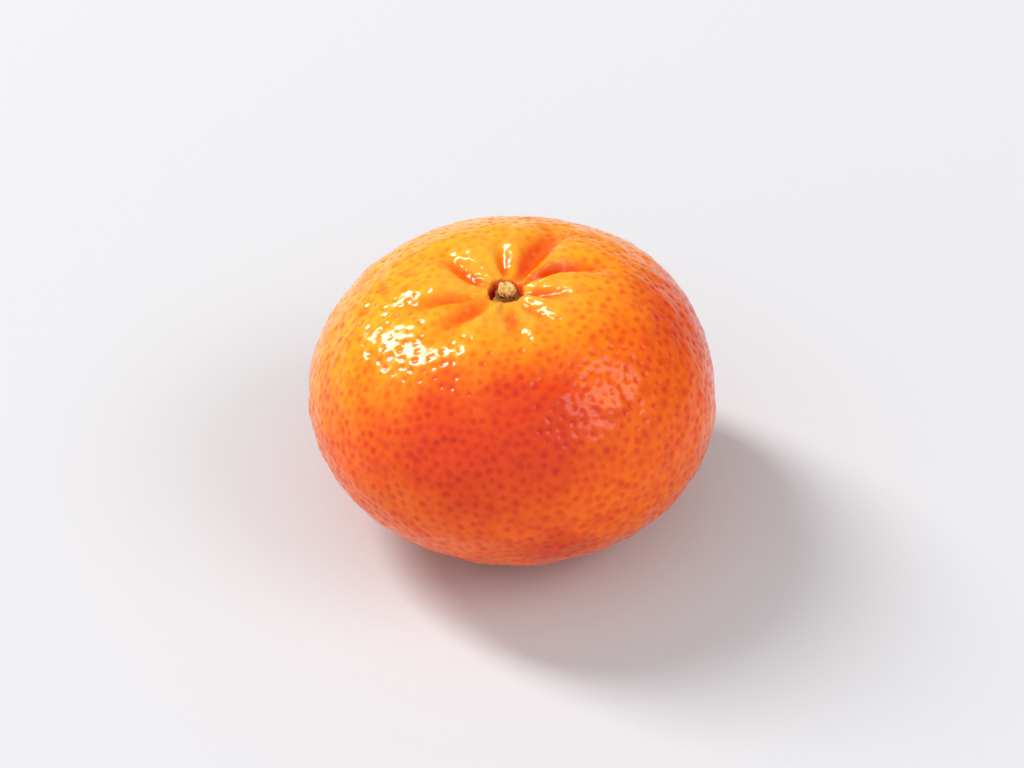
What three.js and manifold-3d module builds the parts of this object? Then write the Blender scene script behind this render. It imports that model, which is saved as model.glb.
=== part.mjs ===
// A mandarin resting stem up on its blossom end: the whole fruit, and the woody stem button left in its neck.
// Millimetres, +Z up. The origin is under the middle of the fruit, on the surface that it rests on.
import * as THREE from "three";
import { mergeVertices } from "three/addons/utils/BufferGeometryUtils.js";
import Module from "manifold-3d";

const wasm = await Module();
wasm.setup();

// The smooth round that the peel departs from: its full width and depth, and its half height.
const WIDTH = 62;
const DEPTH = 61;
const CROWN = 22.5;
const FLAT_RADIUS = 8; // of the spot under the fruit that it rests on

// The neck: a broad basin round the stem, and a small steep pit that the button sits in.
const STEM = new THREE.Vector2(-1, 0.8);
const BASIN_DEPTH = 3.6;
const BASIN_RADIUS = 7.5;
const PIT_FLOOR = 16.9; // its height over the middle of the round
const PIT_RADIUS = 2.75;
const PIT_WALL = 0.5; // how far the wall of the pit leans, from rim to floor

// The furrows that run out from the pit, in degrees from +X towards +Y, and millimetres. The width is from the
// middle of the furrow to its side at the stem and gains the spread for each millimetre outwards. The bend is in
// degrees for each millimetre outwards.
const FURROWS = [
  { azimuth: 35, depth: 2.1, width: 0.5, spread: 0.1, reach: 20, bend: -0.9 },
  { azimuth: 61, depth: 2.3, width: 0.9, spread: 0.11, reach: 20, bend: 0 },
  { azimuth: 96, depth: 1.2, width: 0.5, spread: 0.1, reach: 13, bend: 0 },
  { azimuth: 166, depth: 1.7, width: 0.6, spread: 0.12, reach: 16, bend: -1.8 },
  { azimuth: 207, depth: 1.3, width: 0.8, spread: 0.09, reach: 22, bend: -0.9 },
  { azimuth: 229, depth: 1.4, width: 0.9, spread: 0.1, reach: 20, bend: -0.4 },
  { azimuth: 275, depth: 1.1, width: 0.6, spread: 0.1, reach: 18, bend: 0.2 },
  { azimuth: 303, depth: 0.9, width: 0.7, spread: 0.1, reach: 16, bend: 0.4 },
  { azimuth: 347, depth: 1.5, width: 0.5, spread: 0.11, reach: 13, bend: 0 },
];
const FURROW_SHARPNESS = 1.9;
const FURROW_DEEPEST = 0.4; // of its reach
const FURROW_AT_PIT = 0.35; // of its depth

// Broad lumps and flats of the peel: where each is on the unit round, how far it spreads there, and its height.
const LUMPS = [
  { at: [0.64, 0.6, 0.47], spread: 0.38, height: 0.6 },
  { at: [0.98, 0.13, 0.11], spread: 0.35, height: -0.45 },
  { at: [0.76, -0.5, -0.4], spread: 0.35, height: 0.35 },
  { at: [-0.34, -0.74, -0.58], spread: 0.4, height: -0.25 },
  { at: [-0.86, 0.39, 0.31], spread: 0.35, height: -0.2 },
  { at: [-0.3, 0.93, -0.2], spread: 0.4, height: 0.3 },
  { at: [0.25, 0.83, -0.5], spread: 0.35, height: -0.3 },
  { at: [-0.7, -0.35, 0.62], spread: 0.3, height: 0.15 },
  { at: [0.38, -0.77, 0.51], spread: 0.3, height: -0.15 },
];

// The blossom end: a shallow navel with short creases in the middle of the flat spot.
const NAVEL_RADIUS = 3.4;
const NAVEL_DEPTH = 0.8;
const NAVEL_CREASES = 7;

// The mesh of the peel: its fineness, how much closer its points lie at the neck, and its oil gland dimples.
const MESH_DETAIL = 19;
const NECK_CROWDING = 0.5;
const DIMPLE_DEPTH = 0.28;
const DIMPLE_SEED = 20261;
const SMALLEST_DIMPLED_EDGE = 1.1;

// The stem button: a lobed calyx and the snapped stub of the stalk, with a root in a hole of the fruit.
const CALYX_RADIUS = 1.9;
const CALYX_LOBES = 5;
const STUB_RADIUS = 1.25;
const BUTTON_HEIGHT = 2.6;
const ROOT_RADIUS = 0.9;
const ROOT_LENGTH = 3.2;
const GAP = 0.3; // between the button and the fruit round it
const ROUND_STEPS = 30;

const smooth = THREE.MathUtils.smoothstep;

// A repeatable source of numbers from 0 to 1.
function randomFrom(seed) {
  let state = seed;
  return () => {
    state = (Math.imul(state, 1664525) + 1013904223) >>> 0;
    return state / 4294967296;
  };
}

// Depth of the furrows at a distance from the stem and an azimuth in radians.
function furrowDepth(distance, azimuth) {
  let total = 0;
  for (const { azimuth: start, depth, width, spread, reach, bend } of FURROWS) {
    const turn = azimuth - THREE.MathUtils.degToRad(start + bend * distance);
    if (Math.cos(turn) < 0) continue;
    const aside = (distance * Math.sin(turn)) / (width + spread * distance);
    const valley = Math.exp(-(Math.abs(aside) ** FURROW_SHARPNESS));
    const deepest = FURROW_DEEPEST * reach;
    const inner = THREE.MathUtils.lerp(FURROW_AT_PIT, 1, smooth(distance, PIT_RADIUS, deepest));
    total += depth * valley * inner * (1 - smooth(distance, deepest, reach));
  }
  return total;
}

// Height of the lumps in a direction of the unit round.
function lumpHeight(direction) {
  let total = 0;
  for (const { at, spread, height } of LUMPS) {
    const away = direction.angleTo(new THREE.Vector3(...at)) / spread;
    total += height * Math.exp(-(away ** 2));
  }
  return total;
}

// Height of the peel over the smooth round, where point is on that round and direction is its place on a unit ball.
function relief(point, direction) {
  const upper = smooth(direction.z, 0.1, 0.5);
  const across = new THREE.Vector2(point.x, point.y).sub(STEM);
  const distance = across.length();
  const azimuth = Math.atan2(across.y, across.x);
  const basin = BASIN_DEPTH * Math.exp(-((distance / BASIN_RADIUS) ** 1.7));
  return lumpHeight(direction) - upper * (basin + furrowDepth(distance, azimuth));
}

// Moves a point of the round to the peel, down to the pit's floor by the stem and flat under the fruit,
// with the navel pushed in. Its outward direction is left empty where no dimple goes.
function peelPoint(direction) {
  const half = new THREE.Vector3(WIDTH / 2, DEPTH / 2, CROWN);
  const point = direction.clone().multiply(half);
  const outward = direction.clone().divide(half).normalize();
  point.addScaledVector(outward, relief(point, direction));
  const fromStem = Math.hypot(point.x - STEM.x, point.y - STEM.y);
  if (point.z > 0 && fromStem < PIT_RADIUS) {
    const sunk = 1 - smooth(fromStem, PIT_RADIUS - PIT_WALL, PIT_RADIUS);
    point.z = THREE.MathUtils.lerp(point.z, PIT_FLOOR, sunk);
    return { point, outward: new THREE.Vector3() };
  }
  const floor = -CROWN * Math.sqrt(1 - (FLAT_RADIUS / (WIDTH / 2)) ** 2);
  if (point.z > floor) return { point, outward };
  const fromMiddle = Math.hypot(point.x, point.y);
  const creased = 1 + 0.12 * Math.cos(NAVEL_CREASES * Math.atan2(point.y, point.x));
  point.z = floor + NAVEL_DEPTH * (1 - smooth(fromMiddle, 0.35 * NAVEL_RADIUS, NAVEL_RADIUS * creased));
  return { point, outward: new THREE.Vector3() };
}

// The unit ball's directions, with more of them towards the neck.
function crowded(direction) {
  const polar = Math.acos(THREE.MathUtils.clamp(direction.z, -1, 1));
  const moved = polar - NECK_CROWDING * Math.sin(polar) * (1 + Math.cos(polar)) * 0.5;
  const azimuth = Math.atan2(direction.y, direction.x);
  return new THREE.Vector3(
    Math.sin(moved) * Math.cos(azimuth),
    Math.sin(moved) * Math.sin(azimuth),
    Math.cos(moved),
  );
}

// For each vertex, the vertices that it shares an edge with.
function neighboursOf(index, count) {
  const around = Array.from({ length: count }, () => new Set());
  for (let i = 0; i < index.length; i += 3) {
    const corners = [index[i], index[i + 1], index[i + 2]];
    for (const a of corners) {
      for (const b of corners) {
        if (a !== b) around[a].add(b);
      }
    }
  }
  return around;
}

// Picks vertices in a random order, skipping each that lies beside one already picked.
function dimpleVertices(around, random) {
  const order = around.map((_, i) => ({ i, rank: random() })).sort((p, q) => p.rank - q.rank);
  const picked = new Set();
  for (const { i } of order) {
    if (![...around[i]].some((j) => picked.has(j))) picked.add(i);
  }
  return picked;
}

// The peel as one closed surface, with its oil gland dimples larger than life.
function peelGeometry() {
  const ball = new THREE.IcosahedronGeometry(1, MESH_DETAIL);
  ball.deleteAttribute("normal");
  ball.deleteAttribute("uv");
  const geometry = mergeVertices(ball, 1e-5);
  const position = geometry.attributes.position;
  const placed = [];
  for (let i = 0; i < position.count; i += 1) {
    placed.push(peelPoint(crowded(new THREE.Vector3().fromBufferAttribute(position, i).normalize())));
  }
  const around = neighboursOf(geometry.index.array, position.count);
  const dimples = dimpleVertices(around, randomFrom(DIMPLE_SEED));
  placed.forEach(({ point, outward }, i) => {
    const beside = [...around[i]].map((j) => placed[j].point.distanceTo(point));
    const dimpled = dimples.has(i) && Math.min(...beside) > SMALLEST_DIMPLED_EDGE;
    const moved = dimpled ? point.clone().addScaledVector(outward, -DIMPLE_DEPTH) : point;
    position.setXYZ(i, moved.x, moved.y, moved.z);
  });
  return geometry;
}

// A closed geometry as a solid that can be cut.
function solidOf(geometry) {
  const bare = geometry.clone();
  bare.deleteAttribute("normal");
  bare.deleteAttribute("uv");
  const merged = mergeVertices(bare, 1e-4);
  return new wasm.Manifold(
    new wasm.Mesh({
      numProp: 3,
      vertProperties: new Float32Array(merged.attributes.position.array),
      triVerts: new Uint32Array(merged.index.array),
    }),
  );
}

// A solid back as a geometry.
function geometryOf(solid) {
  const { vertProperties, triVerts } = solid.getMesh();
  const geometry = new THREE.BufferGeometry();
  geometry.setAttribute("position", new THREE.BufferAttribute(vertProperties, 3));
  geometry.setIndex(new THREE.BufferAttribute(triVerts, 1));
  geometry.computeVertexNormals();
  return geometry;
}

// The fruit: the peel's form, with a plain hole for the root of the button.
function fruitGeometry() {
  const radius = ROOT_RADIUS + GAP;
  const hole = new THREE.CylinderGeometry(radius, radius, 2 * ROOT_LENGTH, ROUND_STEPS);
  hole.rotateX(Math.PI / 2);
  hole.translate(STEM.x, STEM.y, PIT_FLOOR);
  return geometryOf(solidOf(peelGeometry()).subtract(solidOf(hole)));
}

// The button stands on its own z = 0, with its root below: a turned profile, then its lobes and broken top.
function buttonGeometry() {
  const profile = [
    [0, -ROOT_LENGTH],
    [ROOT_RADIUS, -ROOT_LENGTH],
    [ROOT_RADIUS, 0],
    [CALYX_RADIUS * 0.85, 0.05],
    [CALYX_RADIUS, 0.5],
    [CALYX_RADIUS * 0.85, 1],
    [STUB_RADIUS * 1.15, 1.2],
    [STUB_RADIUS * 1.05, 1.6],
    [STUB_RADIUS, 2],
    [STUB_RADIUS, BUTTON_HEIGHT - 0.4],
    [STUB_RADIUS * 0.8, BUTTON_HEIGHT],
    [STUB_RADIUS * 0.35, BUTTON_HEIGHT - 0.15],
    [0, BUTTON_HEIGHT - 0.2],
  ];
  const turned = new THREE.LatheGeometry(
    profile.map(([radius, height]) => new THREE.Vector2(radius, height)),
    ROUND_STEPS,
  );
  turned.rotateX(Math.PI / 2);
  const position = turned.attributes.position;
  for (let i = 0; i < position.count; i += 1) {
    const point = new THREE.Vector3().fromBufferAttribute(position, i);
    const azimuth = Math.atan2(point.y, point.x);
    const onCalyx = smooth(point.z, 0, 0.3) * (1 - smooth(point.z, 0.9, 1.3));
    const onStub = smooth(point.z, 1.2, BUTTON_HEIGHT);
    const lobed = 1 + 0.08 * onCalyx * Math.cos(CALYX_LOBES * azimuth + 0.7);
    const worn = 1 + 0.1 * onStub * Math.cos(2 * azimuth - 0.4) + 0.06 * onStub * Math.cos(5 * azimuth);
    const broken = onStub * (0.14 * point.y - 0.18 * point.x);
    position.setXYZ(i, point.x * lobed * worn, point.y * lobed * worn, point.z + broken);
  }
  return turned;
}

// A named piece of the fruit with its own colour.
function piece(name, geometry, colour, roughness) {
  const material = new THREE.MeshStandardMaterial({ color: colour, roughness, metalness: 0 });
  const mesh = new THREE.Mesh(geometry, material);
  mesh.name = name;
  return mesh;
}

const fruit = piece("fruit", fruitGeometry(), 0xf2791e, 0.35);
const button = piece("stem_button", buttonGeometry(), 0xb98a4e, 0.85);
button.position.set(STEM.x, STEM.y, PIT_FLOOR + GAP);

// The pieces together, set down with the flat spot at z = 0 and centred on their box.
const mandarin = new THREE.Group();
mandarin.add(fruit, button);
const box = new THREE.Box3().setFromObject(mandarin);
const centre = box.getCenter(new THREE.Vector3());
mandarin.position.set(-centre.x, -centre.y, -box.min.z);

export default mandarin;
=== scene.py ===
"""A mandarin standing stem up: its dimpled waxy peel and the woody stem button in its neck.

Blender works in metres with +Z up. The fruit's own sizes are in millimetres, as on the real one, and each
mesh is scaled to metres when it is put in its place.
"""

import logging
import math
import random
from dataclasses import dataclass, field
from enum import Enum
from typing import ClassVar

import bmesh
import bpy
import numpy as np
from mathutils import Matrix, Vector, kdtree, noise


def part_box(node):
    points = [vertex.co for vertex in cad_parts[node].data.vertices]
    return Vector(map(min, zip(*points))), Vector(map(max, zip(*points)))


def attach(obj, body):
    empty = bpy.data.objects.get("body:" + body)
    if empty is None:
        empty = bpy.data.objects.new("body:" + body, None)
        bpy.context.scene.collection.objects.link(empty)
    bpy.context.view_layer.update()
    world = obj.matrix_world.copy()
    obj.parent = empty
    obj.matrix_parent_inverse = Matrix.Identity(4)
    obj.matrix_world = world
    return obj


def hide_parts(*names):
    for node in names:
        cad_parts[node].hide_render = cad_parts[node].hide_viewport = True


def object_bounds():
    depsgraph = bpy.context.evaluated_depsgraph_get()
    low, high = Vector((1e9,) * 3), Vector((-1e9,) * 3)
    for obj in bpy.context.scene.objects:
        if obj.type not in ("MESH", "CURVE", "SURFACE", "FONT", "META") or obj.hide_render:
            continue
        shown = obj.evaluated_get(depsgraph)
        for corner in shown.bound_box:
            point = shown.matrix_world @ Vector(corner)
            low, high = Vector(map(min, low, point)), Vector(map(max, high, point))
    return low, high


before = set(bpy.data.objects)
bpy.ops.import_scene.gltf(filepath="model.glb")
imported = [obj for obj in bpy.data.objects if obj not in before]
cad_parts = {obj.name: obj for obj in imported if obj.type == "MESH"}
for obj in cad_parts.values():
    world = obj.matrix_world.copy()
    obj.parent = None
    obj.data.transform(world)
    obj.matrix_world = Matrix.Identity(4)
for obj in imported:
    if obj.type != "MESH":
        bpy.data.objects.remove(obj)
CAD_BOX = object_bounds()

LOG = logging.getLogger("mandarin")
MM = 0.001
BODY = "root"
Array = np.ndarray
Colour = tuple[float, float, float]
Span = tuple[float, float]


def smooth(values: Array, low: float, high: float) -> Array:
    """Ramps from 0 to 1 with soft ends.

    Args:
        values: Numbers to ramp.
        low: Where the ramp leaves 0.
        high: Where it reaches 1.

    Returns:
        The ramped numbers.
    """
    ramp = np.clip((values - low) / (high - low), 0.0, 1.0)
    return ramp * ramp * (3.0 - 2.0 * ramp)


def unit(vectors: Array) -> Array:
    """Returns the row vectors at length 1."""
    return vectors / np.linalg.norm(vectors, axis=1, keepdims=True)


def point_array(mesh: bpy.types.Mesh) -> Array:
    """Returns a mesh's vertices as rows of three."""
    flat = np.empty(len(mesh.vertices) * 3)
    mesh.vertices.foreach_get("co", flat)
    return flat.reshape(-1, 3)


def place_points(mesh: bpy.types.Mesh, points: Array) -> None:
    """Moves a mesh's vertices to these rows of three."""
    mesh.vertices.foreach_set("co", points.ravel())
    mesh.update()


def store(mesh: bpy.types.Mesh, name: str, values: Array) -> None:
    """Keeps one number for each vertex as an attribute that a material can read."""
    made = mesh.attributes.new(name, "FLOAT", "POINT")
    made.data.foreach_set("value", values.astype(np.float32))


def opaque(colour: object) -> object:
    """Returns a plain colour with its fourth number, and anything else as it is."""
    return (*colour, 1.0) if isinstance(colour, tuple) and len(colour) == 3 else colour


@dataclass(frozen=True)
class Bumps:
    """Soft random heights over space, in layers that are each half as wide and half as high as the last.

    The size is the width of the largest bumps in millimetres, and the height is theirs. The seed is where in
    the noise they are read, so that two uses differ.
    """

    size: float
    layers: int
    seed: float
    height: float = 1.0

    def at(self, points: Array) -> Array:
        """Returns the heights at places in millimetres."""
        moved = points / self.size + self.seed
        return self.height * np.array([noise.fractal(Vector(p), 1.0, 2.0, self.layers) for p in moved])


@dataclass(frozen=True)
class Blotches:
    """Blotches of colour: their width in millimetres, the noise that starts and fills them, their strength."""

    size: float
    starts: float
    full: float
    strength: float = 1.0
    detail: float = 3.0


class Shading:
    """One material's node tree, built from its inputs to its surface."""

    def __init__(self, name: str) -> None:
        """Starts an empty material."""
        self.material = bpy.data.materials.new(name)
        self.material.use_nodes = True
        self.tree = self.material.node_tree
        self.tree.nodes.clear()
        self.position = self.add("ShaderNodeTexCoord").outputs["Object"]

    def add(self, kind: str, **settings: object) -> bpy.types.Node:
        """Adds a node and sets its own options."""
        node = self.tree.nodes.new(kind)
        for option, value in settings.items():
            setattr(node, option, value)
        return node

    def feed(self, socket: bpy.types.NodeSocket, source: object) -> None:
        """Links an input to another node's output, or sets it to a value."""
        if isinstance(source, bpy.types.NodeSocket):
            self.tree.links.new(source, socket)
        else:
            socket.default_value = source

    def reading(self, name: str) -> bpy.types.NodeSocket:
        """Returns what a vertex attribute holds."""
        return self.add("ShaderNodeAttribute", attribute_name=name).outputs["Fac"]

    def combined(self, kind: str, first: object, second: object) -> bpy.types.NodeSocket:
        """Returns two numbers combined by a Math node's operation."""
        node = self.add("ShaderNodeMath", operation=kind)
        self.feed(node.inputs[0], first)
        self.feed(node.inputs[1], second)
        return node.outputs[0]

    def scaled(self, value: object, span: float) -> bpy.types.NodeSocket:
        """Returns a number of 0 to 1 as a distance that spans this far, centred on 0."""
        return self.combined("MULTIPLY", self.combined("SUBTRACT", value, 0.5), span)

    def ramp(self, value: object, span: Span, start: float = 0.0, end: float = 1.0) -> bpy.types.NodeSocket:
        """Returns a number carried softly from the span to the range from start to end."""
        node = self.add("ShaderNodeMapRange", interpolation_type="SMOOTHSTEP")
        self.feed(node.inputs["Value"], value)
        self.feed(node.inputs["From Min"], span[0])
        self.feed(node.inputs["From Max"], span[1])
        self.feed(node.inputs["To Min"], start)
        self.feed(node.inputs["To Max"], end)
        return node.outputs["Result"]

    def along(self, direction: Colour, origin: Colour) -> bpy.types.NodeSocket:
        """Returns how far a place lies from an origin along a direction, in metres."""
        shift = self.add("ShaderNodeVectorMath", operation="SUBTRACT")
        self.feed(shift.inputs[0], self.position)
        self.feed(shift.inputs[1], origin)
        dot = self.add("ShaderNodeVectorMath", operation="DOT_PRODUCT")
        self.feed(dot.inputs[0], shift.outputs[0])
        self.feed(dot.inputs[1], direction)
        return dot.outputs["Value"]

    def away_from(self, origin: Colour) -> bpy.types.NodeSocket:
        """Returns how far a place lies from an origin, in metres."""
        node = self.add("ShaderNodeVectorMath", operation="DISTANCE")
        self.feed(node.inputs[0], self.position)
        self.feed(node.inputs[1], origin)
        return node.outputs["Value"]

    def mottle(
        self, size: float, detail: float = 2.0, stretch: Colour = (1.0, 1.0, 1.0)
    ) -> bpy.types.NodeSocket:
        """Returns soft noise of about 0 to 1 whose blotches are this many millimetres wide."""
        mapping = self.add("ShaderNodeMapping")
        self.feed(mapping.inputs["Vector"], self.position)
        self.feed(mapping.inputs["Scale"], stretch)
        node = self.add("ShaderNodeTexNoise")
        self.feed(node.inputs["Vector"], mapping.outputs["Vector"])
        self.feed(node.inputs["Scale"], 1.0 / (size * MM))
        self.feed(node.inputs["Detail"], detail)
        return node.outputs["Fac"]

    def blotched(self, look: Blotches) -> bpy.types.NodeSocket:
        """Returns how strong these blotches are at each place."""
        noise_here = self.mottle(look.size, detail=look.detail)
        return self.ramp(noise_here, (look.starts, look.full), 0.0, look.strength)

    def blend(
        self, factor: object, first: object, second: object, kind: str = "MIX"
    ) -> bpy.types.NodeSocket:
        """Returns one colour laid over another."""
        node = self.add("ShaderNodeMix", data_type="RGBA", blend_type=kind)
        self.feed(node.inputs["Factor"], factor)
        colours = [socket for socket in node.inputs if socket.type == "RGBA"]
        self.feed(colours[0], opaque(first))
        self.feed(colours[1], opaque(second))
        return next(socket for socket in node.outputs if socket.type == "RGBA")

    def bump(self, height: object, depth: float, below: object = None) -> bpy.types.NodeSocket:
        """Returns the surface tilted by a height of 0 to 1 that stands for a depth in millimetres."""
        node = self.add("ShaderNodeBump")
        self.feed(node.inputs["Strength"], 1.0)
        self.feed(node.inputs["Distance"], depth * MM)
        self.feed(node.inputs["Height"], height)
        if below is not None:
            self.feed(node.inputs["Normal"], below)
        return node.outputs["Normal"]

    def surface(self, **inputs: object) -> bpy.types.Material:
        """Ends the tree in a Principled shader with these inputs and returns the material."""
        shader = self.add("ShaderNodeBsdfPrincipled")
        for name, source in inputs.items():
            self.feed(shader.inputs[name.replace("_", " ")], source)
        output = self.add("ShaderNodeOutputMaterial")
        self.feed(output.inputs["Surface"], shader.outputs["BSDF"])
        return self.material


class Slot(Enum):
    """The record's material slots."""

    PEEL = "peel"
    STALK = "stalk"


@dataclass(frozen=True)
class Cheek:
    """A place, in metres, round which the peel is reddest, how far that reaches, and how strong it is."""

    at: Colour
    reach: float
    strength: float


@dataclass(frozen=True)
class WaxyPeel:
    """The finish of ripe mandarin peel: mottled orange with darker oil glands, under natural wax.

    The pale side is the direction in which the peel is yellowest, partly its own colour and partly painted
    light on the side that the key lamp lights, and it turns pale over a span in metres.
    The drifts are blotches that shift the colours' edges: their width in millimetres and the shift in metres.
    The gland's edge is in gland radii, and the furrow shade's span is the depth of a furrow in millimetres
    over which painted shade deepens the furrows' orange. The dent and the grain are depths in millimetres.
    """

    pale: Colour = (0.92, 0.43, 0.02)
    orange: Colour = (0.92, 0.165, 0.003)
    ripe: Colour = (0.72, 0.06, 0.006)
    fleck: Colour = (0.91, 0.60, 0.85)
    gland: Colour = (0.84, 0.42, 0.75)
    # Painted shade: the deeper orange laid into the furrows' hollows.
    painted_furrow_shade: Colour = (0.83, 0.11, 0.006)
    # Painted light: the paler yellow laid on the ridges between the furrows near the neck.
    painted_ridge_light: Colour = (0.90, 0.44, 0.06)
    # Painted shade: the dark red laid on the stem pit's walls.
    pit: Colour = (0.74, 0.05, 0.04)
    scar: Colour = (0.23, 0.085, 0.02)
    pale_and_painted_light_side: Colour = (-0.33, 0.40, 0.85)
    pale_span: Span = (0.001, 0.025)
    broad_drift: Span = (22.0, 0.013)
    fine_drift: Span = (6.0, 0.008)
    cheeks: tuple[Cheek, ...] = (
        Cheek((-0.005, -0.0255, 0.033), 0.0210, 0.4),
        Cheek((0.0025, -0.0245, 0.034), 0.0145, 0.9),
        Cheek((-0.010, -0.0235, 0.033), 0.0125, 0.8),
        Cheek((0.007, -0.029, 0.0165), 0.010, 0.8),
        Cheek((0.027, 0.004, 0.0335), 0.014, 0.5),
        Cheek((0.008, 0.026, 0.020), 0.022, 0.8),
    )
    cheek_core: float = 0.3
    flush: Blotches = Blotches(2.6, 0.45, 0.7, 0.35)
    flecks: Blotches = Blotches(1.2, 0.45, 0.70, 0.6)
    neck_strength: float = 0.4
    furrow_shade_span: Span = (0.1, 1.6)
    furrow_shade_strength: float = 0.9
    ridge_light_strength: float = 0.45
    gland_ragged: Span = (0.6, 0.9)
    gland_edge: Span = (0.1, 1.2)
    gland_on_pale: float = 0.6
    dent_edge: Span = (0.0, 1.1)
    gland_dent: float = 0.02
    grain_size: float = 0.35
    grain: float = 0.015
    roughness: float = 0.15
    ior: float = 1.45
    scatter: float = 0.08
    scatter_reach: Colour = (1.0, 0.28, 0.05)

    def material(self, middle: Colour) -> bpy.types.Material:
        """Builds the material.

        Args:
            middle: The middle of the fruit in metres.

        Returns:
            The peel's material.
        """
        shading = Shading("waxy_peel")
        broad_size, broad_shift = self.broad_drift
        fine_size, fine_shift = self.fine_drift
        broad = shading.scaled(shading.mottle(broad_size), broad_shift)
        fine = shading.scaled(shading.mottle(fine_size, detail=3.0), fine_shift)
        drift = shading.combined("ADD", broad, fine)
        # The peel turns paler towards the key lamp's side: partly its own colour, partly painted light.
        place = shading.combined("ADD", shading.along(self.pale_and_painted_light_side, middle), drift)
        skin = shading.blend(shading.ramp(place, self.pale_span), self.orange, self.pale)
        for cheek in self.cheeks:
            away = shading.combined("ADD", shading.away_from(cheek.at), drift)
            ripe = shading.ramp(away, (self.cheek_core * cheek.reach, cheek.reach), cheek.strength, 0.0)
            skin = shading.blend(ripe, skin, self.ripe)
        skin = shading.blend(shading.blotched(self.flush), skin, self.ripe)
        skin = shading.blend(shading.blotched(self.flecks), skin, self.fleck, "MULTIPLY")
        neck = shading.ramp(shading.reading("neck"), (0.0, 1.0), 0.0, self.neck_strength)
        skin = shading.blend(neck, skin, self.pale)
        # Painted shade: the furrows turn a deeper orange the deeper they are.
        painted_furrow_shade = shading.ramp(shading.reading("furrow"), self.furrow_shade_span, 0.0, self.furrow_shade_strength)
        skin = shading.blend(painted_furrow_shade, skin, self.painted_furrow_shade)
        # Painted light: the ridges near the neck, away from the furrows, turn paler yellow.
        painted_ridge_light = shading.ramp(shading.reading("painted_ridge_light"), (0.0, 1.0), 0.0, self.ridge_light_strength)
        skin = shading.blend(painted_ridge_light, skin, self.painted_ridge_light)
        skin = shading.blend(self.glands(shading, place), skin, self.gland, "MULTIPLY")
        # Painted shade: the stem pit's walls turn dark red.
        skin = shading.blend(shading.reading("pit"), skin, self.pit)
        skin = shading.blend(shading.reading("scar"), skin, self.scar)
        dent = shading.ramp(shading.reading("gland_reach"), self.dent_edge)
        tilted = shading.bump(shading.mottle(self.grain_size, detail=3.0), self.grain)
        tilted = shading.bump(dent, self.gland_dent, tilted)
        return shading.surface(
            Base_Color=skin,
            Roughness=self.roughness,
            Normal=tilted,
            IOR=self.ior,
            Subsurface_Weight=self.scatter,
            Subsurface_Radius=self.scatter_reach,
            Subsurface_Scale=MM,
        )

    def glands(self, shading: Shading, place: bpy.types.NodeSocket) -> bpy.types.NodeSocket:
        """Returns how dark the oil glands are: ragged spots of their own strengths, fainter on pale peel.

        Args:
            shading: The peel's node tree.
            place: How far towards the pale side each place lies, in metres.

        Returns:
            Their strength of 0 to 1.
        """
        size, swing = self.gland_ragged
        ragged = shading.scaled(shading.mottle(size), swing)
        ragged = shading.combined("ADD", shading.reading("gland_reach"), ragged)
        spot = shading.ramp(ragged, self.gland_edge, 1.0, 0.0)
        strength = shading.combined("MULTIPLY", spot, shading.reading("gland_strength"))
        fainter = shading.ramp(place, self.pale_span, 1.0, self.gland_on_pale)
        return shading.combined("MULTIPLY", strength, fainter)


@dataclass(frozen=True)
class DryWood:
    """The finish of the stem button: dry tan wood, with painted shade darkening its cracks and the place under
    the stub.

    The fibres' width and depth are in millimetres.
    """

    tan: Colour = (0.72, 0.42, 0.13)
    pale: Colour = (0.90, 0.62, 0.26)
    # Painted shade: the dark laid in the cracks and under the stub.
    painted_shade_brown: Colour = (0.15, 0.05, 0.008)
    olive: Colour = (0.42, 0.24, 0.07)
    blotches: Blotches = Blotches(1.1, 0.38, 0.62, detail=4.0)
    fibre_size: float = 0.22
    fibre_detail: float = 5.0
    fibre_stretch: Colour = (1.0, 1.0, 0.35)
    fibre_depth: float = 0.09
    roughness: float = 0.82
    ior: float = 1.4

    def material(self) -> bpy.types.Material:
        """Builds the material and returns it."""
        shading = Shading("dry_wood")
        wood = shading.blend(shading.blotched(self.blotches), self.tan, self.pale)
        wood = shading.blend(shading.reading("calyx"), wood, self.olive)
        # Painted shade in the cracks and under the stub.
        wood = shading.blend(shading.reading("painted_crevice_shade"), wood, self.painted_shade_brown)
        fibres = shading.mottle(self.fibre_size, detail=self.fibre_detail, stretch=self.fibre_stretch)
        tilted = shading.bump(fibres, self.fibre_depth)
        return shading.surface(Base_Color=wood, Roughness=self.roughness, Normal=tilted, IOR=self.ior)


@dataclass(frozen=True)
class MattePaint:
    """The plain pale finish of the floor."""

    colour: Colour = (0.65, 0.65, 0.66)
    roughness: float = 0.9

    def material(self) -> bpy.types.Material:
        """Builds the material and returns it."""
        return Shading("matte_paint").surface(Base_Color=opaque(self.colour), Roughness=self.roughness)


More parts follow.
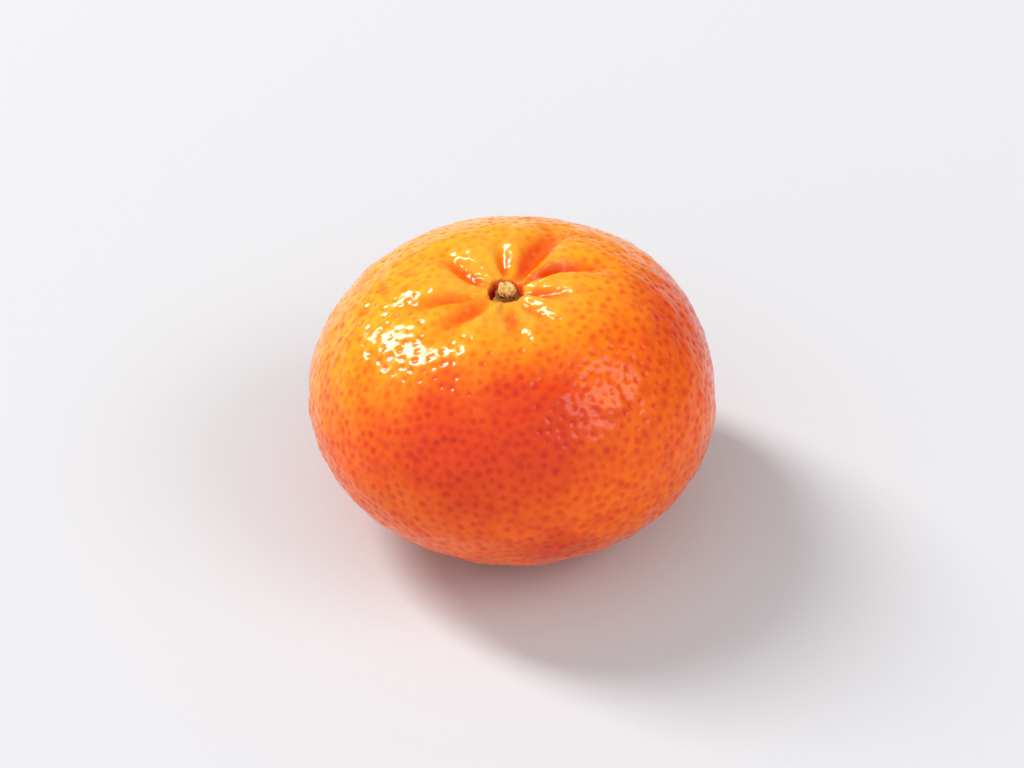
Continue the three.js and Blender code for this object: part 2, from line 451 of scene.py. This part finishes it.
@dataclass(frozen=True)
class Furrow:
    """A crease that runs out from the stem pit.

    Its azimuth is in degrees from +X towards +Y, and its depth, half width and reach are in millimetres. The
    half width is the one at the stem, and gains the spread for each millimetre outwards. It bends by degrees
    for each millimetre outwards. All furrows fall as steeply to their middle, are deepest at one share of
    their reach, and have one share of their depth at the pit.
    """

    azimuth: float
    depth: float
    width: float
    spread: float
    reach: float
    bend: float

    sharpness: ClassVar[float] = 1.9
    deepest: ClassVar[float] = 0.4
    at_pit: ClassVar[float] = 0.35

    def depth_at(self, distance: Array, azimuth: Array, pit_radius: float) -> Array:
        """Gives the crease's depth.

        Args:
            distance: Millimetres from the stem.
            azimuth: Radians round the stem.
            pit_radius: Where the crease starts.

        Returns:
            Depths in millimetres.
        """
        turn = azimuth - np.radians(self.azimuth + self.bend * distance)
        aside = distance * np.sin(turn) / (self.width + self.spread * distance)
        valley = np.exp(-(np.abs(aside) ** self.sharpness)) * (np.cos(turn) >= 0.0)
        deepest = self.deepest * self.reach
        inner = self.at_pit + (1.0 - self.at_pit) * smooth(distance, pit_radius, deepest)
        return self.depth * valley * inner * (1.0 - smooth(distance, deepest, self.reach))


@dataclass(frozen=True)
class Lump:
    """A broad lump or flat: its place and spread on the unit round, and its height in millimetres."""

    at: Colour
    spread: float
    height: float

    def height_at(self, directions: Array) -> Array:
        """Returns its height in millimetres."""
        peak = unit(np.array([self.at]))[0]
        away = np.arccos(np.clip(directions @ peak, -1.0, 1.0)) / self.spread
        return self.height * np.exp(-(away**2))


FURROWS = (
    Furrow(35.0, 2.1, 0.50, 0.10, 20.0, -0.9),
    Furrow(61.0, 2.3, 0.90, 0.11, 20.0, 0.0),
    Furrow(96.0, 1.2, 0.50, 0.10, 13.0, 0.0),
    Furrow(166.0, 1.7, 0.60, 0.12, 16.0, -1.8),
    Furrow(207.0, 1.3, 0.80, 0.09, 22.0, -0.9),
    Furrow(229.0, 1.4, 0.90, 0.10, 20.0, -0.4),
    Furrow(275.0, 1.1, 0.60, 0.10, 18.0, 0.2),
    Furrow(303.0, 0.9, 0.70, 0.10, 16.0, 0.4),
    Furrow(347.0, 1.5, 0.50, 0.11, 13.0, 0.0),
)

LUMPS = (
    Lump((0.64, 0.60, 0.47), 0.38, 0.60),
    Lump((0.98, 0.13, 0.11), 0.35, -0.45),
    Lump((0.76, -0.50, -0.40), 0.35, 0.35),
    Lump((-0.34, -0.74, -0.58), 0.40, -0.25),
    Lump((-0.86, 0.39, 0.31), 0.35, -0.20),
    Lump((-0.30, 0.93, -0.20), 0.40, 0.30),
    Lump((0.25, 0.83, -0.50), 0.35, -0.30),
    Lump((-0.70, -0.35, 0.62), 0.30, 0.15),
    Lump((0.38, -0.77, 0.51), 0.30, -0.15),
)


@dataclass
class Glands:
    """The oil glands: small dents scattered evenly over the round, each with its own width and strength.

    The spacing is the least distance between two, and the swell is how far a dent spreads. They and the
    radius are in millimetres. Each gland's share of the radius and its strength are drawn from two ranges.
    """

    spacing: float = 1.34
    radius: float = 0.8
    swell: float = 0.42
    neighbours: int = 4
    tries: int = 90000
    seed: int = 20261
    radius_range: Span = (0.75, 1.2)
    strength_range: Span = (0.4, 1.0)
    radii: list[float] = field(init=False)
    strengths: list[float] = field(init=False)
    tree: kdtree.KDTree = field(init=False)

    def scatter(self, half: Array) -> None:
        """Places the glands by keeping each random place that is clear of those already kept.

        Args:
            half: The round's three half widths in millimetres.
        """
        draw = random.Random(self.seed)
        kept: list[Vector] = []
        cells: dict[tuple[int, int, int], list[Vector]] = {}
        for _ in range(self.tries):
            place = Vector([draw.gauss(0.0, 1.0) for _ in range(3)]).normalized() * Vector(half)
            cell = tuple(math.floor(value / self.spacing) for value in place)
            near = (
                other
                for i in range(-1, 2)
                for j in range(-1, 2)
                for k in range(-1, 2)
                for other in cells.get((cell[0] + i, cell[1] + j, cell[2] + k), ())
            )
            if all((other - place).length > self.spacing for other in near):
                kept.append(place)
                cells.setdefault(cell, []).append(place)
        self.radii = [self.radius * draw.uniform(*self.radius_range) for _ in kept]
        self.strengths = [draw.uniform(*self.strength_range) for _ in kept]
        self.tree = kdtree.KDTree(len(kept))
        for index, place in enumerate(kept):
            self.tree.insert(place, index)
        self.tree.balance()
        LOG.info("%d oil glands", len(kept))

    def nearest(self, points: Array) -> tuple[Array, Array]:
        """Finds each point's nearest gland.

        Args:
            points: Places on the round in millimetres.

        Returns:
            The distance in that gland's own radii, and its strength.
        """
        found = [self.tree.find(Vector(point))[1:] for point in points]
        reach = np.array([distance / self.radii[index] for index, distance in found])
        strength = np.array([self.strengths[index] for index, _ in found])
        return reach, strength

    def dents(self, points: Array) -> Array:
        """Gives the soft dents over the glands, which run into each other.

        Args:
            points: Places on the round in millimetres.

        Returns:
            Depths of 0 to about 1.
        """
        depths = []
        for point in points:
            near = self.tree.find_n(Vector(point), self.neighbours)
            falls = ((index, math.exp(-((away / self.swell) ** 2))) for _, index, away in near)
            depths.append(sum(self.strengths[index] * fall for index, fall in falls))
        return np.array(depths)


@dataclass
class Peel:
    """The whole fruit as one skin, in millimetres from the middle of the smooth round that it departs from.

    The pit shade is how deep in the pit its painted shade starts and is full, and the lip how far outside it
    that painted shade ends. The upper span is the part of the unit round's height over which basin and furrows
    begin.
    The neck spans are distances from the stem over which the neck, its pale colour and the bare peel without
    gland spots end. Spans of a pit or navel radius are shares of it.
    """

    width: float = 62.0
    depth: float = 61.0
    crown: float = 22.5
    flat_radius: float = 8.0
    stem: tuple[float, float] = (-1.0, 0.8)
    basin_depth: float = 3.6
    basin_radius: float = 7.5
    pit_floor: float = 16.9
    pit_radius: float = 2.75
    pit_wall: float = 0.5
    pit_shade: Span = (0.1, 0.8)
    pit_lip: float = 0.5
    basin_steepness: float = 1.7
    upper_span: Span = (0.1, 0.5)
    neck_span: Span = (5.0, 16.0)
    pale_neck_span: Span = (11.0, 20.0)
    bare_span: Span = (3.5, 11.0)
    bare_rise: float = 4.0
    ridge_light_span: Span = (0.1, 1.0)
    wrinkle: float = 0.6
    wrinkle_bumps: Bumps = Bumps(1.0, 2, 21.9)
    wrinkles_round: float = 3.2
    wrinkles_out: float = 0.12
    wrinkle_start: Span = (0.9, 1.4)
    undulation: tuple[Bumps, ...] = (Bumps(5.0, 2, 3.7, 0.24), Bumps(2.2, 2, 11.3, 0.09))
    pebbles: Bumps = Bumps(1.1, 2, 17.2)
    pebble_height: float = 0.03
    neck_pebble_height: float = 0.12
    navel_radius: float = 3.4
    navel_depth: float = 0.8
    navel_creases: int = 7
    navel_crease: float = 0.12
    navel_slope: Span = (0.35, 1.0)
    scar_span: Span = (0.25, 0.55)
    cuts: int = 127
    neck_crowding: float = 0.22
    gland_depth: float = 0.15
    largest_reading: float = 3.0

    def round_cube(self) -> bpy.types.Mesh:
        """Returns a finely divided cube whose vertices are spread evenly over a unit ball."""
        shell = bmesh.new()
        bmesh.ops.create_cube(shell, size=2.0)
        bmesh.ops.subdivide_edges(shell, edges=shell.edges, cuts=self.cuts, use_grid_fill=True)
        mesh = bpy.data.meshes.new("mandarin_peel")
        shell.to_mesh(mesh)
        shell.free()
        place_points(mesh, unit(np.tan(point_array(mesh) * math.pi / 4)))
        return mesh

    def crowded(self, directions: Array) -> Array:
        """Returns the directions with more of them towards the neck."""
        polar = np.arccos(np.clip(directions[:, 2], -1.0, 1.0))
        moved = polar - self.neck_crowding * np.sin(polar) * (1.0 + np.cos(polar)) * 0.5
        azimuth = np.arctan2(directions[:, 1], directions[:, 0])
        across = np.sin(moved)
        return np.stack((across * np.cos(azimuth), across * np.sin(azimuth), np.cos(moved)), axis=1)

    def from_stem(self, points: Array) -> tuple[Array, Array]:
        """Returns each point's distance from the stem and its azimuth round it in radians."""
        across = points[:, :2] - np.array(self.stem)
        return np.hypot(across[:, 0], across[:, 1]), np.arctan2(across[:, 1], across[:, 0])

    def creases(self, points: Array, directions: Array) -> Array:
        """Returns the depth of all furrows at points of the round, in millimetres."""
        distance, azimuth = self.from_stem(points)
        depth = sum(furrow.depth_at(distance, azimuth, self.pit_radius) for furrow in FURROWS)
        return depth * smooth(directions[:, 2], *self.upper_span)

    def wrinkles(self, points: Array) -> Array:
        """Returns the height of the fine puckers that run out from the pit, in millimetres."""
        distance, azimuth = self.from_stem(points)
        turn = self.wrinkles_round
        around = (turn * np.cos(azimuth), turn * np.sin(azimuth), self.wrinkles_out * distance)
        starts, full = self.wrinkle_start
        fade = smooth(distance, starts * self.pit_radius, full * self.pit_radius)
        fade = fade * (1.0 - smooth(distance, *self.neck_span))
        heights = self.wrinkle_bumps.at(np.stack(around, axis=1))
        return self.wrinkle * fade * (points[:, 2] > 0.0) * heights

    def basin(self, points: Array, directions: Array) -> Array:
        """Returns the depth of the basin round the stem, in millimetres."""
        distance, _ = self.from_stem(points)
        depth = self.basin_depth * np.exp(-((distance / self.basin_radius) ** self.basin_steepness))
        return depth * smooth(directions[:, 2], *self.upper_span)

    def dress(self, mesh: bpy.types.Mesh, glands: Glands) -> None:
        """Moves the unit ball's vertices to the peel and keeps what its material reads.

        Args:
            mesh: The unit ball, which is left in millimetres.
            glands: The scattered oil glands.
        """
        half = np.array((self.width / 2, self.depth / 2, self.crown))
        directions = self.crowded(point_array(mesh))
        points = directions * half
        outward = unit(directions / half)
        reach, strength = glands.nearest(points)
        furrow = self.creases(points, directions)
        relief = sum(lump.height_at(directions) for lump in LUMPS) - furrow - self.basin(points, directions)
        distance, _ = self.from_stem(points)
        upper = directions[:, 2] > 0.0
        bare_starts, bare_ends = self.bare_span
        strength = strength * smooth(distance, bare_starts, bare_ends + self.bare_rise * directions[:, 2])
        undulation = sum(bumps.at(points) for bumps in self.undulation)
        neck = (1.0 - smooth(distance, *self.neck_span)) * upper
        pebbles = (self.pebble_height + self.neck_pebble_height * neck) * self.pebbles.at(points)
        dents = self.gland_depth * glands.dents(points)
        heights = relief + undulation + pebbles + self.wrinkles(points) - dents
        points = points + outward * heights[:, None]
        points, pit = self.sink_pit(points)
        points, scar = self.flatten_base(points)
        place_points(mesh, points)
        readings = {
            "gland_reach": reach,
            "gland_strength": strength,
            "furrow": furrow,
            # Painted light on the neck's ridges, away from the furrows.
            "painted_ridge_light": neck * (1.0 - smooth(furrow, *self.ridge_light_span)),
            "neck": (1.0 - smooth(distance, *self.pale_neck_span)) * upper,
            # Painted shade in the stem pit.
            "pit": pit,
            "scar": scar,
        }
        for name, values in readings.items():
            store(mesh, name, np.minimum(values, self.largest_reading))

    def sink_pit(self, points: Array) -> tuple[Array, Array]:
        """Drops the points beside the stem to the pit's floor. Returns them and how strong the pit's painted
        shade is at each.
        """
        distance, _ = self.from_stem(points)
        upper = points[:, 2] > 0.0
        sunk = (1.0 - smooth(distance, self.pit_radius - self.pit_wall, self.pit_radius)) * upper
        rim = points[:, 2].copy()
        points[:, 2] += (self.pit_floor - points[:, 2]) * sunk
        # Painted shade in the pit: full deep in it, fading out past the rim.
        depth = np.where(upper, smooth(rim - points[:, 2], *self.pit_shade), 0.0)
        beyond = smooth(distance, self.pit_radius, self.pit_radius + self.pit_lip)
        return points, depth * np.where(upper, 1.0 - beyond, 0.0)

    def flatten_base(self, points: Array) -> tuple[Array, Array]:
        """Rests the fruit on a flat spot with the navel pushed in, and returns it and where the scar is."""
        floor = -self.crown * math.sqrt(1.0 - (self.flat_radius / (self.width / 2)) ** 2)
        low = points[:, 2] <= floor
        from_middle = np.hypot(points[:, 0], points[:, 1])
        azimuth = np.arctan2(points[:, 1], points[:, 0])
        creased = self.navel_radius * (1.0 + self.navel_crease * np.cos(self.navel_creases * azimuth))
        navel = self.navel_depth * (1.0 - smooth(from_middle / creased, *self.navel_slope))
        points[:, 2] = np.where(low, floor + navel, points[:, 2])
        scar = np.where(points[:, 2] < 0.0, 1.0 - smooth(from_middle / creased, *self.scar_span), 0.0)
        return points, scar

    def build(self, finish: WaxyPeel) -> bpy.types.Object:
        """Builds and dresses the peel in its place round the fruit of the frame.

        Args:
            finish: The peel's finish.

        Returns:
            The peel's object.
        """
        glands = Glands()
        glands.scatter(np.array((self.width / 2, self.depth / 2, self.crown)))
        mesh = self.round_cube()
        self.dress(mesh, glands)
        low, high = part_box("fruit")
        points = point_array(mesh) * MM
        middle = (points.min(axis=0) + points.max(axis=0)) / 2
        points[:, :2] += np.array((low + high)[:2]) / 2 - middle[:2]
        points[:, 2] += low[2] - points[:, 2].min()
        place_points(mesh, points)
        mesh.shade_smooth()
        peel = bpy.data.objects.new("mandarin_peel", mesh)
        bpy.context.scene.collection.objects.link(peel)
        mesh.materials.append(finish.material(tuple((low + high) / 2)))
        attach(peel, BODY)
        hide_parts("fruit")
        LOG.info("peel of %d faces", len(mesh.polygons))
        return peel


@dataclass
class StemButton:
    """The woody button: a lobed calyx with the snapped stub on it and a root below, in millimetres.

    Its spans are heights over the calyx's underside. The lobe, the oval and the facet are shares by which
    the body swells to each side, turned by radians. The snapped top rises by a share of the way to +Y and -X.
    """

    calyx_radius: float = 2.0
    lobes: int = 5
    stub_radius: float = 1.25
    height: float = 2.6
    root_radius: float = 0.9
    root_length: float = 3.2
    steps: int = 96
    profile_cuts: int = 7
    merge: float = 1e-4
    lobe: float = 0.16
    lobe_turn: float = 0.7
    lobes_start: Span = (0.0, 0.3)
    lobes_end: Span = (0.9, 1.3)
    stub_foot: float = 1.2
    oval: float = 0.1
    oval_turn: float = 0.4
    facets: int = 5
    facet: float = 0.06
    tilt_y: float = 0.14
    tilt_x: float = 0.18
    weather_span: Span = (0.05, 0.5)
    rough: Bumps = Bumps(1.1, 4, 5.1)
    rough_height: float = 0.26
    chunks: Bumps = Bumps(0.45, 3, 8.4)
    chunk_height: float = 0.14
    outward_squash: float = 0.35
    outward_origin: float = 0.3
    crack_chunks: float = 0.6
    crack_span: Span = (-0.75, -0.1)
    crack_shade: float = 0.75
    under_stub_start: Span = (0.8, 1.1)
    under_stub_end: Span = (1.4, 1.9)
    under_stub_shade: float = 0.85
    calyx_shade_end: Span = (0.7, 1.1)

    def profile(self) -> list[tuple[float, float]]:
        """Returns the turned outline from the root's foot to the stub's top, as radius and height."""
        return [
            (0.0, -self.root_length),
            (self.root_radius, -self.root_length),
            (self.root_radius, 0.0),
            (self.calyx_radius * 0.85, 0.05),
            (self.calyx_radius, 0.5),
            (self.calyx_radius * 0.85, 1.0),
            (self.stub_radius * 1.15, 1.2),
            (self.stub_radius * 1.05, 1.6),
            (self.stub_radius, 2.0),
            (self.stub_radius, self.height - 0.4),
            (self.stub_radius * 0.9, self.height),
            (self.stub_radius * 0.35, self.height - 0.1),
            (0.0, self.height - 0.1),
        ]

    def turned(self) -> bpy.types.Mesh:
        """Returns the outline spun into a closed body."""
        shell = bmesh.new()
        corners = [shell.verts.new((radius, 0.0, height)) for radius, height in self.profile()]
        edges = [shell.edges.new(pair) for pair in zip(corners, corners[1:])]
        bmesh.ops.subdivide_edges(shell, edges=edges, cuts=self.profile_cuts)
        bmesh.ops.spin(
            shell,
            geom=shell.verts[:] + shell.edges[:],
            cent=(0.0, 0.0, 0.0),
            axis=(0.0, 0.0, 1.0),
            angle=math.tau,
            steps=self.steps,
            use_merge=True,
        )
        bmesh.ops.remove_doubles(shell, verts=shell.verts, dist=self.merge)
        bmesh.ops.recalc_face_normals(shell, faces=shell.faces)
        mesh = bpy.data.meshes.new("woody_stem_button")
        shell.to_mesh(mesh)
        shell.free()
        return mesh

    def weather(self, mesh: bpy.types.Mesh) -> None:
        """Gives the turned body its lobes, worn sides and snapped top, and keeps what its wood reads."""
        points = point_array(mesh)
        height = points[:, 2]
        azimuth = np.arctan2(points[:, 1], points[:, 0])
        on_calyx = smooth(height, *self.lobes_start) * (1.0 - smooth(height, *self.lobes_end))
        on_stub = smooth(height, self.stub_foot, self.height)
        lobed = 1.0 + self.lobe * on_calyx * np.cos(self.lobes * azimuth + self.lobe_turn)
        worn = 1.0 + self.oval * on_stub * np.cos(2 * azimuth - self.oval_turn)
        worn = worn + self.facet * on_stub * np.cos(self.facets * azimuth)
        broken = on_stub * (self.tilt_y * points[:, 1] - self.tilt_x * points[:, 0])
        above = smooth(height, *self.weather_span)
        rough = self.rough.at(points)
        chunky = self.chunks.at(points)
        squash = np.array((1.0, 1.0, self.outward_squash))
        outward = unit(points * squash - np.array((0.0, 0.0, self.outward_origin)))
        points[:, :2] *= (lobed * worn)[:, None]
        points[:, 2] += broken
        points += outward * (above * (self.rough_height * rough + self.chunk_height * chunky))[:, None]
        place_points(mesh, points)
        # Painted shade: dark laid under the stub and in the cracks between the rough chunks.
        under_stub = smooth(height, *self.under_stub_start) * (1.0 - smooth(height, *self.under_stub_end))
        cracks = 1.0 - smooth(rough + self.crack_chunks * chunky, *self.crack_span)
        painted_crevice_shade = self.under_stub_shade * under_stub + self.crack_shade * cracks
        store(mesh, "painted_crevice_shade", np.clip(painted_crevice_shade, 0.0, 1.0))
        store(mesh, "calyx", 1.0 - smooth(height, *self.calyx_shade_end))

    def build(self, finish: DryWood) -> bpy.types.Object:
        """Builds and dresses the button in its place in the frame.

        Args:
            finish: The wood's finish.

        Returns:
            The button's object.
        """
        mesh = self.turned()
        self.weather(mesh)
        low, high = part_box("stem_button")
        points = point_array(mesh) * MM
        points[:, :2] += np.array((low + high)[:2]) / 2
        points[:, 2] += low[2] - points[:, 2].min()
        place_points(mesh, points)
        mesh.shade_smooth()
        button = bpy.data.objects.new("woody_stem_button", mesh)
        bpy.context.scene.collection.objects.link(button)
        mesh.materials.append(finish.material())
        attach(button, BODY)
        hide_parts("stem_button")
        LOG.info("stem button of %d faces", len(mesh.polygons))
        return button


@dataclass(frozen=True)
class Softbox:
    """A lamp that faces the fruit. Azimuth 0 stands at -Y, on the camera's side, and 90 at +X, in degrees."""

    name: str
    azimuth: float
    elevation: float
    distance: float
    width: float
    height: float
    brightness: float

    def build(self, aim: Vector) -> None:
        """Adds the lamp, aimed at a point in metres."""
        lamp = bpy.data.lights.new(self.name, "AREA")
        lamp.shape = "ELLIPSE"
        lamp.size = self.width
        lamp.size_y = self.height
        lamp.energy = self.brightness * self.width * self.height
        turn, rise = math.radians(self.azimuth), math.radians(self.elevation)
        away = Vector((math.sin(turn) * math.cos(rise), -math.cos(turn) * math.cos(rise), math.sin(rise)))
        stand = bpy.data.objects.new(self.name, lamp)
        stand.location = aim + away * self.distance
        stand.rotation_euler = away.to_track_quat("Z", "Y").to_euler()
        stand.visible_camera = False
        bpy.context.scene.collection.objects.link(stand)


@dataclass(frozen=True)
class Studio:
    """The pale floor, the soft lights and the camera, in metres and degrees.

    The camera's lens and sensor are in millimetres. The air is the light from all round: its strength in
    front and behind, and how far to either side of the middle it changes, on the unit round.
    """

    floor_radius: float = 4.0
    floor_sides: int = 96
    aim_lift: float = 0.0013
    camera_elevation: float = 43.0
    camera_distance: float = 0.5
    lens: float = 116.0
    sensor: float = 36.0
    clip: Span = (0.05, 20.0)
    air_colour: Colour = (0.97, 0.98, 1.0)
    air_change: float = 0.5
    front_air: float = 0.80
    back_air: float = 0.32
    softboxes: tuple[Softbox, ...] = (
        Softbox("key", -122.0, 45.0, 2.5, 0.55, 1.5, 51.0),
        Softbox("front_right", 72.0, 45.0, 2.5, 1.7, 1.2, 5.5),
    )

    def build(self, finish: MattePaint, aim: Vector) -> None:
        """Sets up everything round the fruit.

        Args:
            finish: The floor's finish.
            aim: The point that the camera and the lights face, in metres.
        """
        self.floor(finish)
        self.air()
        self.camera(aim)
        for softbox in self.softboxes:
            softbox.build(aim)

    def floor(self, finish: MattePaint) -> None:
        """Lays the floor that the fruit rests on."""
        disc = bmesh.new()
        bmesh.ops.create_circle(disc, cap_ends=True, segments=self.floor_sides, radius=self.floor_radius)
        mesh = bpy.data.meshes.new("floor")
        disc.to_mesh(mesh)
        disc.free()
        mesh.materials.append(finish.material())
        floor = bpy.data.objects.new("floor", mesh)
        bpy.context.scene.collection.objects.link(floor)

    def air(self) -> None:
        """Lights the scene softly from all round, more from the front than from behind."""
        world = bpy.data.worlds.new("studio")
        world.use_nodes = True
        background = world.node_tree.nodes["Background"]
        background.inputs["Color"].default_value = opaque(self.air_colour)
        direction = world.node_tree.nodes.new("ShaderNodeTexCoord").outputs["Generated"]
        depth = world.node_tree.nodes.new("ShaderNodeSeparateXYZ")
        strength = world.node_tree.nodes.new("ShaderNodeMapRange")
        strength.interpolation_type = "SMOOTHSTEP"
        strength.inputs["From Min"].default_value = -self.air_change
        strength.inputs["From Max"].default_value = self.air_change
        strength.inputs["To Min"].default_value = self.front_air
        strength.inputs["To Max"].default_value = self.back_air
        world.node_tree.links.new(direction, depth.inputs["Vector"])
        world.node_tree.links.new(depth.outputs["Y"], strength.inputs["Value"])
        world.node_tree.links.new(strength.outputs["Result"], background.inputs["Strength"])
        bpy.context.scene.world = world

    def camera(self, aim: Vector) -> None:
        """Stands the camera in front of the fruit and looks down on it."""
        data = bpy.data.cameras.new("camera")
        data.sensor_width = self.sensor
        data.lens = self.lens
        data.clip_start, data.clip_end = self.clip
        rise = math.radians(self.camera_elevation)
        away = Vector((0.0, -math.cos(rise), math.sin(rise)))
        camera = bpy.data.objects.new("camera", data)
        camera.location = aim + away * self.camera_distance
        camera.rotation_euler = away.to_track_quat("Z", "Y").to_euler()
        bpy.context.scene.collection.objects.link(camera)
        bpy.context.scene.camera = camera

    def picture(self) -> None:
        """Sets how the picture is shown: the plain view, with the strong contrast of studio light."""
        bpy.context.scene.view_settings.view_transform = "Standard"
        bpy.context.scene.view_settings.look = "Medium High Contrast"


def main() -> None:
    """Builds the fruit, its button and the studio."""
    logging.basicConfig(level=logging.INFO, format="%(name)s: %(message)s")
    Peel().build(WaxyPeel())
    StemButton().build(DryWood())
    low, high = CAD_BOX
    studio = Studio()
    studio.build(MattePaint(), (low + high) / 2 + Vector((0.0, 0.0, studio.aim_lift)))
    studio.picture()


if __name__ == "__main__":
    main()
